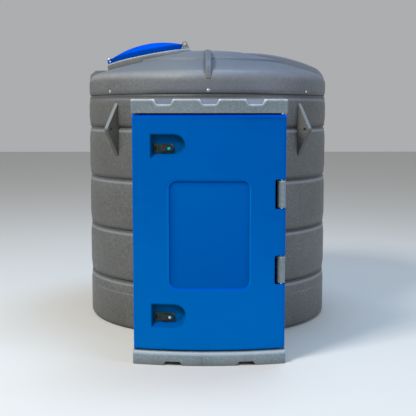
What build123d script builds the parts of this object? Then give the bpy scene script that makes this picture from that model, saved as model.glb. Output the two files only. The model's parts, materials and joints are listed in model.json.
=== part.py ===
from build123d import *
import os
from math import asin, cos, degrees, radians, sin, sqrt

# Diesel exhaust fluid tank: a round double-walled tank under a bolted hood, a dispensing cabinet in
# front of it, and a hinged inspection lid on a slanted neck.
# Millimetres. Z is up and the ground is z = 0; the tank's axis is x = y = 0; the cabinet faces -Y.

# Outer wall: barrel-shaped bands between V grooves.
groove_radius = 1000.0
groove_lip = 11.0
groove_half_height = 13.0
band_bulge = 18.0
band_slope_height = 85.0
groove_first_z = 384.0
groove_pitch = 406.0
groove_count = 4
top_band_height = 261.0
seam_z = groove_first_z + (groove_count - 1) * groove_pitch + top_band_height
wall_thickness = 12.0
foot_radius = 38.0
foot_width = 46.0
floor_thickness = 12.0
spigot_height = 60.0
spigot_set_in = 2.0

# Hood: skirt, shoulder, shallow dome and a raised disc.
hood_overhang = 16.0
hood_skirt_radius = groove_radius + hood_overhang
hood_seam_inset = 10.0
hood_bore_gap = 2.0
hood_skirt_bore = groove_radius + hood_bore_gap
hood_shoulder_round = 95.0
hood_shoulder_turn = 63.0
hood_shoulder_rise = 179.0
hood_shoulder_z = seam_z + hood_shoulder_rise
hood_dome_inset = 186.0
hood_dome_mid_radius = hood_skirt_radius - hood_dome_inset
hood_dome_rise = 44.0
hood_dome_mid_z = hood_shoulder_z + hood_dome_rise
hood_disc_inset = 173.0
hood_disc_radius = hood_dome_mid_radius - hood_disc_inset
hood_disc_rise = 50.0
hood_disc_foot_z = hood_dome_mid_z + hood_disc_rise
hood_disc_step = 19.0
hood_disc_draft = 10.0
hood_crest_rise = 114.0
hood_crest_z = hood_disc_foot_z + hood_crest_rise
hood_top_disc_radius = 330.0
hood_top_disc_step = 8.0
hood_thickness = 12.0
seam_turn = 20.0
rib_width = 50.0
rib_bevel = 9.0
rib_start_radius = 260.0
rib_nose_height = 18.0
gusset_inset = 156.0
gusset_back_radius = hood_skirt_radius - gusset_inset
gusset_rise = 43.0
gusset_top_z = hood_shoulder_z + gusset_rise
gusset_flat = 106.0
hood_bolt_angles = (0.0, 50.0, 130.0, 180.0, 230.0, 310.0)
hood_bolt_rise = 24.0
hood_bolt_z = seam_z + hood_bolt_rise
hood_bolt_head = 11.5
hood_bolt_shank = 6.0

# Tie-down lugs on the wall.
lug_angles = (45.0, 135.0, 225.0, 315.0)
lug_thickness = 38.0
lug_top_drop = 59.0
lug_top_z = seam_z - lug_top_drop
lug_tip_drop = 273.0
lug_tip_z = seam_z - lug_tip_drop
lug_foot_drop = 491.0
lug_foot_z = seam_z - lug_foot_drop
lug_reach = 112.0
lug_tip_round = 26.0
lug_hole = 14.0
lug_hole_inset = 42.0

# Slanted neck and inspection lid, in the neck's own tilted plane.
neck_edge_inset = 513.0
neck_x = neck_edge_inset - hood_skirt_radius
neck_sink = 54.0
neck_z = hood_crest_z - neck_sink
neck_tilt = 11.0
neck_radius = 370.0
neck_wall = 14.0
neck_depth = 200.0
seat_thickness = 14.0
seat_opening = 262.0
lid_radius = 322.0
lid_skirt = 46.0
lid_height = 113.0
lid_wall = 10.0
lid_chord_inset = 30.0
lid_chord = lid_radius - lid_chord_inset
lid_seat_gap = 0.3
lid_hinge_offset = 2.0
lid_hinge_u = lid_radius + lid_hinge_offset
lid_hinge_height = 52.0
lid_barrel_radius = 16.0
lid_barrel_half = 35.0
lid_ear_inner = 41.0
lid_ear_thickness = 20.0
lid_ear_round = 22.0
lid_edge_round = 6.0
lid_arm_lap = 6.0
lid_arm_height = 18.0
lid_arm_drop = 3.0
bracket_toe = 26.0
bracket_heel = 37.0
bracket_pad = 9.0
lid_pin_radius = 7.0
lid_pin_gap = 0.3
lid_pin_head = 13.0
lid_pin_head_height = 7.0
tab_length = 38.0
tab_reach = lid_radius + tab_length
tab_half_width = 34.0
tab_height = 44.0
tab_corner = 14.0
staple_offset = 23.0
staple_u = -lid_radius - staple_offset
staple_thickness = 6.0
staple_half_width = 14.0
staple_top = 62.0
staple_gap = 6.0
staple_hole = 6.0

# Inner tank, seen only through the open lid.
inner_gap = 43.0
inner_radius = groove_radius - wall_thickness - inner_gap
inner_wall = 10.0
inner_shoulder_drop = 63.0
inner_shoulder_z = seam_z - inner_shoulder_drop
inner_crown_rise = 72.0
inner_crown_z = inner_shoulder_z + inner_crown_rise
inner_neck_radius = 215.0
inner_neck_height = 185.0
inner_neck_top_z = inner_shoulder_z + inner_neck_height
inner_cap_overhang = 23.0
inner_cap_radius = inner_neck_radius + inner_cap_overhang
inner_cap_height = 45.0
inner_cap_top_z = inner_neck_top_z + inner_cap_height
inner_cap_lap = 30.0
inner_cap_gap = 4.0

# Cabinet: bowed front, roof and base slabs, side walls and a curved back against the tank.
cabinet_half_width = 524.0
cabinet_depth = 766.0
cabinet_front_y = -groove_radius - cabinet_depth
cabinet_bow = 62.0
cabinet_top_drop = 54.0
cabinet_top_z = seam_z - cabinet_top_drop
roof_thickness = 93.0
roof_bottom_z = cabinet_top_z - roof_thickness
base_top_z = 96.0
bar_overhang = 3.0
bar_corner = 22.0
bar_edge = 10.0
side_wall_thickness = 40.0
back_thickness = 12.0
tank_gap = 0.3
cut_reach = 6000.0
recess_pitch = 305.0
recess_mouth = 125.0
recess_floor = 91.0
recess_depth = 35.0
recess_run = 95.0
recess_sill = 18.0
recess_corner = 10.0
recess_clear = 20.0
notch_x = 251.0
notch_mouth = 136.0
notch_top = 97.0
notch_height = 27.0
notch_run = 130.0
notch_clear = 20.0

# Door: one double-skinned moulding that follows the bow.
door_set_back = 18.0
door_thickness = 62.0
door_side_inset = 4.0
door_left_x = door_side_inset - cabinet_half_width
door_foot_gap = 6.0
door_bottom_z = base_top_z + door_foot_gap
door_head_gap = 9.0
door_top_z = roof_bottom_z - door_head_gap
door_edge = 9.0
door_rear_gap = 8.0
hinge_inset = 34.0
hinge_x = cabinet_half_width - hinge_inset
rod_radius = 8.0
rod_gap = 0.3
rod_seat_gap = 0.1
rod_bite = 45.0
knuckle_radius = 30.0
knuckle_low_foot = 458.0
knuckle_low_head = 640.0
knuckle_high_foot = 629.0
knuckle_high_head = 445.0
knuckle_z = (
    (door_bottom_z + knuckle_low_foot, door_bottom_z + knuckle_low_head),
    (door_top_z - knuckle_high_foot, door_top_z - knuckle_high_head),
)
knuckle_gap = 8.0
knuckle_side_gap = 14.0
panel_side_margin = 251.0
panel_half_width = cabinet_half_width - panel_side_margin
panel_foot_margin = 425.0
panel_bottom_z = door_bottom_z + panel_foot_margin
panel_head_margin = 441.0
panel_top_z = door_top_z - panel_head_margin
panel_corner = 55.0
panel_depth = 13.0
panel_lip = 8.0
panel_sill = 4.0

# Latches: a scooped D pocket, a plate, a turning lever and its lock cylinder.
latch_side_margin = 206.0
latch_x = latch_side_margin - cabinet_half_width
latch_foot_margin = 223.0
latch_head_margin = 227.0
latch_z = (door_bottom_z + latch_foot_margin, door_top_z - latch_head_margin)
pocket_left = 79.0
pocket_round_centre = 80.0
pocket_half = 80.0
pocket_rise = 14.0
pocket_depth = 42.0
pocket_side_draft = 5.0
pocket_bottom_draft = 32.0
plate_left = 60.0
plate_right = 77.0
plate_half = 31.0
plate_thickness = 6.0
plate_slot_x = -50.0
plate_slot_width = 7.0
plate_slot_height = 26.0
lever_gap = 0.5
lever_thickness = 11.0
lever_boss = 22.0
lever_half = 16.0
lever_reach = 73.0
lever_spindle = 7.0
lock_x = 44.0
lock_radius = 9.5
lock_proud = 2.0


def ring(points):
    return revolve(make_face(Polyline([(r, 0, z) for r, z in points], close=True)), Axis.Z)


def cap_point(rim_radius, rim_z, crown_z, radius):
    """Point at a radius on a spherical cap that has its centre on the axis."""
    rise = crown_z - rim_z
    sphere = (rim_radius**2 + rise**2) / (2 * rise)
    return (radius, 0, crown_z - sphere + sqrt(sphere**2 - radius**2))


crown_radius = groove_radius + band_bulge
lip_radius = groove_radius + groove_lip
spigot_radius = groove_radius - spigot_set_in
shoulder_low_z = hood_shoulder_z - hood_shoulder_round * sin(radians(hood_shoulder_turn))
grooves = [groove_first_z + i * groove_pitch for i in range(groove_count)]

bow_radius = (cabinet_half_width**2 + cabinet_bow**2) / (2 * cabinet_bow)
bow_centre_y = cabinet_front_y + bow_radius
door_front = bow_radius - door_set_back
door_back = door_front - door_thickness
door_mid = (door_front + door_back) / 2
hinge_y = bow_centre_y - sqrt(door_mid**2 - hinge_x**2)

neck_plane = Plane(
    origin=(neck_x, 0, neck_z),
    x_dir=(cos(radians(neck_tilt)), 0, sin(radians(neck_tilt))),
    z_dir=(-sin(radians(neck_tilt)), 0, cos(radians(neck_tilt))),
)


def band_profile():
    """Outer wall from the ground to the seam, as radius and height."""
    points = [(crown_radius, 0.0)]
    for z in grooves:
        points.append((crown_radius, z - band_slope_height))
        points.append((lip_radius, z - groove_half_height))
        points.append((groove_radius, z))
        points.append((lip_radius, z + groove_half_height))
        points.append((crown_radius, z + band_slope_height))
    points.append((crown_radius, seam_z - band_slope_height))
    points.append((lip_radius, seam_z - groove_half_height))
    points.append((groove_radius + 1, seam_z))
    return points


def bund_wall():
    outside = band_profile()
    inside = [(r - wall_thickness, z) for r, z in outside[1:-1]]
    inside.append((spigot_radius - wall_thickness, seam_z - groove_half_height))
    inside.append((spigot_radius - wall_thickness, seam_z + spigot_height))
    top = [(spigot_radius, seam_z), (spigot_radius, seam_z + spigot_height)]
    foot = [
        (crown_radius - foot_width, 0.0),
        (crown_radius - foot_width, floor_thickness),
        (crown_radius - wall_thickness, foot_width),
    ]
    solid = ring(outside + top + inside[::-1] + foot[::-1])
    corner = solid.edges().filter_by(GeomType.CIRCLE).filter_by(
        lambda e: abs(e.center().Z) < 0.01 and abs(e.radius - crown_radius) < 0.01
    )
    solid = fillet(corner, foot_radius)
    for angle in hood_bolt_angles:
        solid -= radial_rod(hood_bolt_shank, groove_radius - 60, groove_radius + 20, angle)
    return solid


def bund_floor():
    disc = Cylinder(crown_radius - foot_width, floor_thickness)
    return disc.moved(Location((0, 0, floor_thickness / 2)))


def wall_envelope(gap):
    """Everything inside the wall's outer face, grown by a gap."""
    points = [(r + gap, z) for r, z in band_profile()]
    return ring([(0.0, 0.0)] + points + [(0.0, seam_z)])


def tie_down_lugs():
    tip = crown_radius + lug_reach
    face = crown_radius - 6
    root = groove_radius - 20
    low = [(root, lug_foot_z), (face, lug_foot_z)]
    corners = low + [(tip, lug_tip_z), (face, lug_top_z), (root, lug_top_z)]
    outline = make_face(Polyline([(r, 0, z) for r, z in corners], close=True))
    nose = outline.vertices().sort_by(Axis.X)[-1]
    outline = fillet(nose, lug_tip_round)
    blade = extrude(outline, amount=lug_thickness / 2, dir=(0, 1, 0), both=True)
    hole = Cylinder(lug_hole, 2 * lug_thickness, rotation=(90, 0, 0))
    blade -= hole.moved(Location((tip - lug_hole_inset, 0, lug_tip_z)))
    blade -= wall_envelope(tank_gap)
    return Compound([blade.rotate(Axis.Z, a) for a in lug_angles])


def hood_crown(grow, skirt_radius):
    """Shoulder, dome and the two stepped discs up to the crest, grown or shrunk by a skin."""
    bend = hood_shoulder_round + grow
    centre = skirt_radius - bend
    turn = radians(hood_shoulder_turn)
    low = hood_shoulder_z - hood_shoulder_round * sin(turn)
    on_bend = [(centre + bend * cos(a), 0, low + bend * sin(a)) for a in (0, turn / 2, turn)]
    dome = (hood_dome_mid_radius + grow, 0, hood_dome_mid_z + grow)
    disc_foot = (hood_disc_radius + grow, 0, hood_disc_foot_z + grow)
    disc_top = (disc_foot[0] - hood_disc_draft, 0, disc_foot[2] + hood_disc_step)
    crest = (0, 0, hood_crest_z + grow)
    under = hood_crest_z + grow - hood_top_disc_step
    step_foot = cap_point(disc_top[0], disc_top[2], under, hood_top_disc_radius)
    disc_mid = cap_point(disc_top[0], disc_top[2], under, (disc_top[0] + hood_top_disc_radius) / 2)
    step_top = (step_foot[0] - hood_top_disc_step, 0, step_foot[2] + hood_top_disc_step)
    top_mid = cap_point(step_top[0], step_top[2], crest[2], step_top[0] / 2)
    return [
        ThreePointArc(*on_bend),
        ThreePointArc(on_bend[2], dome, disc_foot),
        Line(disc_foot, disc_top),
        ThreePointArc(disc_top, disc_mid, step_foot),
        Line(step_foot, step_top),
        ThreePointArc(step_top, top_mid, crest),
    ]


def hood_outline(grow):
    """Seam to crest on the hood's outside."""
    skirt = hood_skirt_radius + grow
    side = Polyline(
        [
            (skirt - hood_seam_inset, 0, seam_z),
            (skirt - 0.4 * hood_seam_inset, 0, seam_z + 12),
            (skirt - 0.1 * hood_seam_inset, 0, seam_z + 30),
            (skirt, 0, seam_z + 55),
            (skirt, 0, shoulder_low_z),
        ]
    )
    return [side] + hood_crown(grow, skirt)


def hollow_outline():
    """Seam to crest on the inside: a straight bore up the skirt, then the form less its skin."""
    side = Line((hood_skirt_bore, 0, seam_z), (hood_skirt_bore, 0, shoulder_low_z))
    return [side] + hood_crown(-hood_thickness, hood_skirt_bore)


def turned(outline, extra):
    solid = revolve(make_face(outline + extra), Axis.Z)
    return solid.rotate(Axis.Z, seam_turn)


def hood_block(grow):
    """The hood's outer form as a solid block."""
    outline = hood_outline(grow)
    foot = (0, 0, seam_z)
    crest = (0, 0, hood_crest_z + grow)
    return turned(outline, [Line(crest, foot), Line(foot, outline[0] @ 0)])


def hood_shell():
    outside = hood_outline(0)
    inside = hollow_outline()
    crown = Line((0, 0, hood_crest_z), (0, 0, hood_crest_z - hood_thickness))
    return turned(outside + inside, [crown, Line(outside[0] @ 0, inside[0] @ 0)])


def rib(angle):
    """Radial rib: leaves the disc, follows the dome and turns down over the shoulder."""
    start = (rib_start_radius, 0, hood_crest_z - 16)
    crest = (hood_disc_radius - 7, 0, hood_crest_z - 49)
    turn = (hood_skirt_radius - 91, 0, hood_crest_z - 138)
    nose = (hood_skirt_radius + 1, 0, shoulder_low_z + rib_nose_height)
    under = [
        (hood_skirt_radius - 76, 0, nose[2]),
        (hood_skirt_radius - 136, 0, hood_shoulder_z - 12),
        (hood_disc_radius - 57, 0, hood_disc_foot_z - 42),
        (rib_start_radius, 0, hood_crest_z - 70),
    ]
    over = ThreePointArc(start, crest, turn)
    outline = [
        over,
        TangentArc(turn, nose, tangent=over % 1),
        Polyline([nose] + under + [start]),
    ]
    blade = extrude(make_face(outline), amount=rib_width / 2, dir=(0, 1, 0), both=True)
    top = blade.edges().filter_by(
        lambda e: abs(abs(e.center().Y) - rib_width / 2) < 0.1 and e.geom_type == GeomType.CIRCLE
    )
    return chamfer(top, rib_bevel).rotate(Axis.Z, angle)


def neck_gusset():
    """Flat-topped rib end between the neck and the skirt."""
    foot = shoulder_low_z + rib_nose_height
    face = hood_skirt_radius
    outline = [
        (gusset_back_radius, gusset_top_z),
        (gusset_back_radius + gusset_flat, gusset_top_z),
        (face - 4, gusset_top_z - 38),
        (face, gusset_top_z - 85),
        (face, foot),
        (face - 76, foot),
        (gusset_back_radius, gusset_top_z - 35),
    ]
    outline = Polyline([(-r, 0, z) for r, z in outline], close=True)
    return extrude(make_face(outline), amount=rib_width / 2, dir=(0, 1, 0), both=True)


def tilted_cylinder(radius, low, high):
    core = Cylinder(radius, high - low).moved(Location((0, 0, (high + low) / 2)))
    return core.moved(neck_plane.location)


def roof_hood():
    hood = hood_shell()
    core = hood_block(-hood_thickness / 2)
    for piece in (rib(0), rib(90), rib(-90), neck_gusset()):
        hood += piece - core
    hood -= tilted_cylinder(neck_radius - neck_wall, -neck_depth, neck_depth)
    for angle in hood_bolt_angles:
        hood -= radial_rod(hood_bolt_shank, groove_radius - 60, hood_skirt_radius + 20, angle)
    return hood


def radial_rod(radius, start, end, angle):
    rod = Cylinder(radius, end - start, rotation=(0, 90, 0))
    rod = rod.moved(Location(((start + end) / 2, 0, hood_bolt_z)))
    return rod.rotate(Axis.Z, angle - 90)


def lid_collar():
    tube = tilted_cylinder(neck_radius, -neck_depth, 0)
    tube -= tilted_cylinder(neck_radius - neck_wall, -neck_depth, -seat_thickness)
    tube -= tilted_cylinder(seat_opening, -neck_depth, neck_depth)
    return tube - hood_block(tank_gap) - neck_gusset()


def hood_bolts():
    bolts = []
    for angle in hood_bolt_angles:
        face = hood_skirt_radius - 0.5 + tank_gap
        head = RegularPolygon(hood_bolt_head, 6)
        head = extrude(head, 8).moved(Location((face, 0, hood_bolt_z), (0, 90, 0)))
        shank = Cylinder(hood_bolt_shank - 0.3, 50, rotation=(0, 90, 0))
        shank = shank.moved(Location((face - 25, 0, hood_bolt_z)))
        bolts.append((head + shank).rotate(Axis.Z, angle - 90))
    return Compound(bolts)


def inner_tank():
    floor_z = floor_thickness
    return ring(
        [
            (0, floor_z),
            (inner_radius, floor_z),
            (inner_radius, inner_shoulder_z),
            (inner_radius - inner_wall, inner_shoulder_z),
            (inner_radius - inner_wall, floor_z + inner_wall),
            (0, floor_z + inner_wall),
        ]
    )


def inner_tank_roof():
    def cap(drop):
        arc = ThreePointArc(
            (inner_radius, 0, inner_shoulder_z - drop),
            cap_point(inner_radius, inner_shoulder_z - drop, inner_crown_z - drop, inner_radius / 2),
            (0, 0, inner_crown_z - drop),
        )
        foot_z = inner_shoulder_z - drop
        rest = Polyline([(0, 0, inner_crown_z - drop), (0, 0, foot_z), (inner_radius, 0, foot_z)])
        return revolve(make_face([arc, rest]), Axis.Z)

    roof = cap(0) - cap(inner_wall)
    return roof - Cylinder(inner_neck_radius, cut_reach).moved(Location((neck_x, 0, inner_shoulder_z)))


def inner_neck():
    low = inner_shoulder_z
    tube = Cylinder(inner_neck_radius, inner_neck_top_z - low) - Cylinder(
        inner_neck_radius - inner_wall, inner_neck_top_z - low
    )
    tube = tube.moved(Location((neck_x, 0, (inner_neck_top_z + low) / 2)))
    return tube


def inner_cap():
    low = inner_neck_top_z - inner_cap_lap
    top = Cylinder(inner_cap_radius, inner_cap_top_z - low)
    top = top.moved(Location((neck_x, 0, (inner_cap_top_z + low) / 2)))
    room = Cylinder(inner_neck_radius + inner_cap_gap, 2 * inner_cap_lap).moved(Location((neck_x, 0, low)))
    return top - room


def bar(low, high):
    """Plan of the cabinet's roof and base: square sides, bowed front, back cut to the tank."""
    half = cabinet_half_width + bar_overhang
    plan = Rectangle(2 * half, -cabinet_front_y).moved(Location((0, cabinet_front_y / 2)))
    plan = plan & Circle(bow_radius).moved(Location((0, bow_centre_y)))
    plan -= Circle(crown_radius + tank_gap)
    corners = plan.vertices().filter_by(lambda v: v.Y < cabinet_front_y + 2 * cabinet_bow)
    plan = fillet(corners, bar_corner)
    return extrude(plan, high - low).moved(Location((0, 0, low)))


def front_edges(solid, z):
    return solid.edges().filter_by(
        lambda e: abs(e.center().Z - z) < 0.01 and (e @ 0.5).Y < cabinet_front_y + 400
        or abs(e.center().Z - z) < 0.01 and abs(abs((e @ 0.5).X) - cabinet_half_width - bar_overhang) < 0.1
    )


def trapezoid_prism(x, z, wide, narrow, height, front, run):
    low = [(x - wide / 2, 0, z), (x + wide / 2, 0, z)]
    high = [(x + narrow / 2, 0, z + height), (x - narrow / 2, 0, z + height)]
    outline = Polyline(low + high, close=True)
    return extrude(make_face(outline), run, dir=(0, 1, 0)).moved(Location((0, front, 0)))


def rod_seat(z):
    """Blind hole that takes one end of the door's hinge rod."""
    seat = Cylinder(rod_radius + rod_seat_gap, 2 * rod_bite)
    return seat.moved(Location((hinge_x, hinge_y, z)))


def bow_front_y(x):
    return bow_centre_y - sqrt(bow_radius**2 - x**2)


def roof_recess(x):
    """Trapezoid hand hold in the roof's front edge, with rounded lower corners and a sloping floor."""
    front = bow_front_y(x)
    floor_z = cabinet_top_z - recess_depth
    spread = (recess_mouth - recess_floor) / recess_depth
    over = cabinet_top_z + recess_clear
    wide = recess_mouth + recess_clear * spread
    run = recess_run + 2 * recess_clear
    hold = trapezoid_prism(x, over, wide, recess_floor, floor_z - over, front - recess_clear, run)
    slope = Polyline(
        [
            (x, front - recess_clear, floor_z),
            (x, front + recess_sill, floor_z),
            (x, front + recess_run, cabinet_top_z + 1),
            (x, front + recess_run, over),
            (x, front - recess_clear, over),
        ],
        close=True,
    )
    hold &= extrude(make_face(slope), recess_mouth, dir=(1, 0, 0), both=True)
    low = hold.edges().filter_by(
        lambda e: (e @ 0.5).Z < floor_z + recess_depth / 2 and abs((e @ 0).Y - (e @ 1).Y) > recess_sill / 2
    )
    return fillet(low, recess_corner)


def cabinet_roof():
    slab = bar(roof_bottom_z, cabinet_top_z)
    for i in (-1, 0, 1):
        slab -= roof_recess(i * recess_pitch)
    floor_z = cabinet_top_z - recess_depth
    mouths = slab.edges().filter_by(
        lambda e: floor_z - 1 < (e @ 0.5).Z < cabinet_top_z - 0.1
        and abs((e @ 0.5).X) < recess_pitch + recess_mouth
        and abs((e @ 0.5).Y - bow_front_y((e @ 0.5).X)) < 0.2
    )
    slab = fillet(front_edges(slab, cabinet_top_z) + mouths, bar_edge)
    return slab - rod_seat(roof_bottom_z)


def cabinet_base():
    slab = bar(0, base_top_z)
    slab = fillet(front_edges(slab, base_top_z), bar_edge)
    for x in (-notch_x, notch_x):
        front = bow_front_y(x) - notch_clear
        slab -= trapezoid_prism(x, 0, notch_mouth, notch_top, notch_height, front, notch_run + notch_clear)
    return slab - rod_seat(base_top_z)


side_front_y = hinge_y + door_thickness / 2 + door_rear_gap


def cabinet_wall(side):
    x = side * (cabinet_half_width - side_wall_thickness / 2)
    depth = -side_front_y - 700
    wall = Box(side_wall_thickness, depth, roof_bottom_z - base_top_z)
    wall = wall.moved(Location((x, side_front_y + depth / 2, (roof_bottom_z + base_top_z) / 2)))
    uprights = wall.edges().filter_by(Axis.Z).filter_by(lambda e: (e @ 0).Y < side_front_y + 1)
    wall = fillet(uprights, 10)
    return wall - Cylinder(crown_radius + tank_gap, cut_reach)


def cabinet_back():
    outer = Circle(crown_radius + tank_gap + back_thickness) - Circle(crown_radius + tank_gap)
    width = 2 * (cabinet_half_width - side_wall_thickness)
    plan = outer & Rectangle(width, -cabinet_front_y).moved(Location((0, cabinet_front_y / 2)))
    return extrude(plan, roof_bottom_z - base_top_z).moved(Location((0, 0, base_top_z)))


def hinge_knuckles():
    solids = []
    for low, high in knuckle_z:
        plan = Circle(knuckle_radius).moved(Location((hinge_x, hinge_y)))
        reach = side_front_y - hinge_y
        plan += Rectangle(2 * knuckle_radius, reach).moved(Location((hinge_x, hinge_y + reach / 2)))
        plan -= Circle(rod_radius + rod_seat_gap).moved(Location((hinge_x, hinge_y)))
        solids.append(extrude(plan, high - low).moved(Location((0, 0, low))))
    return Compound(solids)


def hinge_rod():
    low = base_top_z - rod_bite
    high = roof_bottom_z + rod_bite
    return Cylinder(rod_radius, high - low).moved(Location((hinge_x, hinge_y, (low + high) / 2)))


def latch_plane(z):
    """Plane on the door's front face at the lever's pivot; its own z points out of the door."""
    turn = asin(latch_x / door_front)
    y = bow_centre_y - door_front * cos(turn)
    return Plane(
        origin=(latch_x, y, z), x_dir=(cos(turn), sin(turn), 0), z_dir=(sin(turn), -cos(turn), 0)
    )


def latch_pocket(z):
    """Scooped D: steep sides, a straight left wall, a round right end and a sloping lower wall."""

    def outline(depth, side, low):
        top = pocket_half + pocket_rise - side
        bottom = pocket_rise - pocket_half + low
        left = -pocket_left + side
        middle = (top + bottom) / 2
        radius = (top - bottom) / 2
        low = (pocket_round_centre, bottom)
        high = (pocket_round_centre, top)
        right = (pocket_round_centre + radius, middle)
        wire = [Polyline([low, (left, bottom), (left, top), high]), ThreePointArc(high, right, low)]
        return make_face(wire).moved(Location((0, 0, -depth)))

    proud = 14.0
    share = proud / pocket_depth
    outer = outline(-proud, -pocket_side_draft * share, -pocket_bottom_draft * share)
    inner = outline(pocket_depth, pocket_side_draft, pocket_bottom_draft)
    return loft([outer, inner], ruled=True).moved(latch_plane(z).location)


def on_panel(edge, radius):
    """Whether an edge of the recessed panel lies on the bow of that radius."""
    middle = edge @ 0.5
    near = abs(middle.X) < panel_half_width + 1 and panel_bottom_z - 1 < middle.Z < panel_top_z + 1
    return near and abs(sqrt(middle.X**2 + (middle.Y - bow_centre_y) ** 2) - radius) < 0.5


def door():
    swing = asin(hinge_x / door_mid)

    def on_bow(radius, angle):
        return (radius * sin(angle), bow_centre_y - radius * cos(angle))

    left_front = asin(door_left_x / door_front)
    left_back = asin(door_left_x / door_back)
    tip = on_bow(door_mid, swing)
    tip = (tip[0] + door_thickness / 2 * cos(swing), tip[1] + door_thickness / 2 * sin(swing))
    plan = make_face(
        [
            ThreePointArc(
                on_bow(door_front, left_front), on_bow(door_front, 0), on_bow(door_front, swing)
            ),
            ThreePointArc(on_bow(door_front, swing), tip, on_bow(door_back, swing)),
            ThreePointArc(on_bow(door_back, swing), on_bow(door_back, 0), on_bow(door_back, left_back)),
            Line(on_bow(door_back, left_back), on_bow(door_front, left_front)),
        ]
    )
    slab = extrude(plan, door_top_z - door_bottom_z).moved(Location((0, 0, door_bottom_z)))
    free_edge = slab.edges().filter_by(Axis.Z).filter_by(lambda e: abs((e @ 0).X - door_left_x) < 0.1)
    slab = fillet(free_edge, door_edge)
    rims = slab.edges().filter_by(
        lambda e: abs(e.center().Z - door_top_z) < 0.01 or abs(e.center().Z - door_bottom_z) < 0.01
    )
    slab = fillet(rims, door_edge)
    for low, high in knuckle_z:
        height = high - low + 2 * knuckle_gap
        left = hinge_x - knuckle_radius - knuckle_side_gap
        cut = Box(200, 300, height).moved(Location((left + 100, hinge_y, (low + high) / 2)))
        uprights = cut.edges().filter_by(Axis.Y).filter_by(lambda e: (e @ 0).X < left + 1)
        slab -= fillet(uprights, 10)
    slab -= Cylinder(rod_radius + rod_gap, cut_reach).moved(Location((hinge_x, hinge_y, 0)))
    panel = RectangleRounded(2 * panel_half_width, panel_top_z - panel_bottom_z, panel_corner)
    mid = (panel_top_z + panel_bottom_z) / 2
    front = Plane(origin=(0, bow_centre_y - door_front - 20, mid), x_dir=(1, 0, 0), z_dir=(0, -1, 0))
    tool = extrude(panel, -100).moved(front.location)
    tool -= Cylinder(door_front - panel_depth, cut_reach).moved(Location((0, bow_centre_y, 0)))
    slab -= tool
    lip = slab.edges().filter_by(lambda e: on_panel(e, door_front))
    slab = fillet(lip, panel_lip)
    sill = slab.edges().filter_by(lambda e: on_panel(e, door_front - panel_depth))
    slab = fillet(sill, panel_sill)
    for z in latch_z:
        slab -= latch_pocket(z)
    return slab


def latch_plates():
    plates = []
    for z in latch_z:
        straight = plate_left + plate_right - plate_half
        face = Rectangle(straight, 2 * plate_half).moved(Location((straight / 2 - plate_left, 0)))
        face += Circle(plate_half).moved(Location((plate_right - plate_half, 0)))
        face -= Circle(lever_spindle + rod_gap)
        face -= Rectangle(plate_slot_width, plate_slot_height).moved(Location((plate_slot_x, 0)))
        plate = extrude(face, plate_thickness)
        rims = plate.faces().sort_by(Axis.Z)[-1].outer_wire().edges()
        plate = chamfer(rims, 1.5)
        plates.append(plate.moved(Location((0, 0, -pocket_depth))).moved(latch_plane(z).location))
    return Compound(plates)


def latch_lever(z):
    low = plate_thickness + lever_gap - pocket_depth
    straight = lever_reach - lever_half
    arm = Rectangle(straight, 2 * lever_half).moved(Location((straight / 2, 0)))
    arm += Circle(lever_half).moved(Location((straight, 0)))
    arm += Circle(lever_boss)
    body = extrude(arm, lever_thickness)
    body = fillet(body.faces().sort_by(Axis.Z)[-1].outer_wire().edges(), 3)
    body -= Cylinder(lock_radius + 0.1, 40).moved(Location((lock_x, 0, 0)))
    body = body.moved(Location((0, 0, low)))
    spindle_length = plate_thickness + lever_gap - 0.5
    body += Cylinder(lever_spindle, spindle_length).moved(Location((0, 0, low - spindle_length / 2)))
    return body.moved(latch_plane(z).location)


def lock_cylinder(z):
    low = plate_thickness + lever_gap - pocket_depth
    core = Cylinder(lock_radius, lever_thickness + lock_proud)
    core = core.moved(Location((lock_x, 0, low + (lever_thickness + lock_proud) / 2)))
    core = chamfer(core.edges().sort_by(Axis.Z)[-1], 1)
    slot = Box(2, 11, 6).moved(Location((lock_x, 0, low + lever_thickness + lock_proud)))
    return (core - slot).moved(latch_plane(z).location)


def lid_form(inset):
    """Lid's domed form over its seat, cut straight on the hinge side."""
    radius = lid_radius - inset
    top = lid_height - inset
    skirt = lid_skirt - inset / 2
    low = lid_seat_gap if inset == 0 else -20.0
    mid = cap_point(radius, skirt, top, radius / 2)
    outline = [
        Polyline([(0, 0, top), (0, 0, low), (radius, 0, low), (radius, 0, skirt)]),
        ThreePointArc((radius, 0, skirt), mid, (0, 0, top)),
    ]
    form = revolve(make_face(outline), Axis.Z)
    edge = lid_chord - inset
    keep = Box(cut_reach, cut_reach, cut_reach).moved(Location((edge - cut_reach / 2, 0, 0)))
    return form & keep


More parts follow.
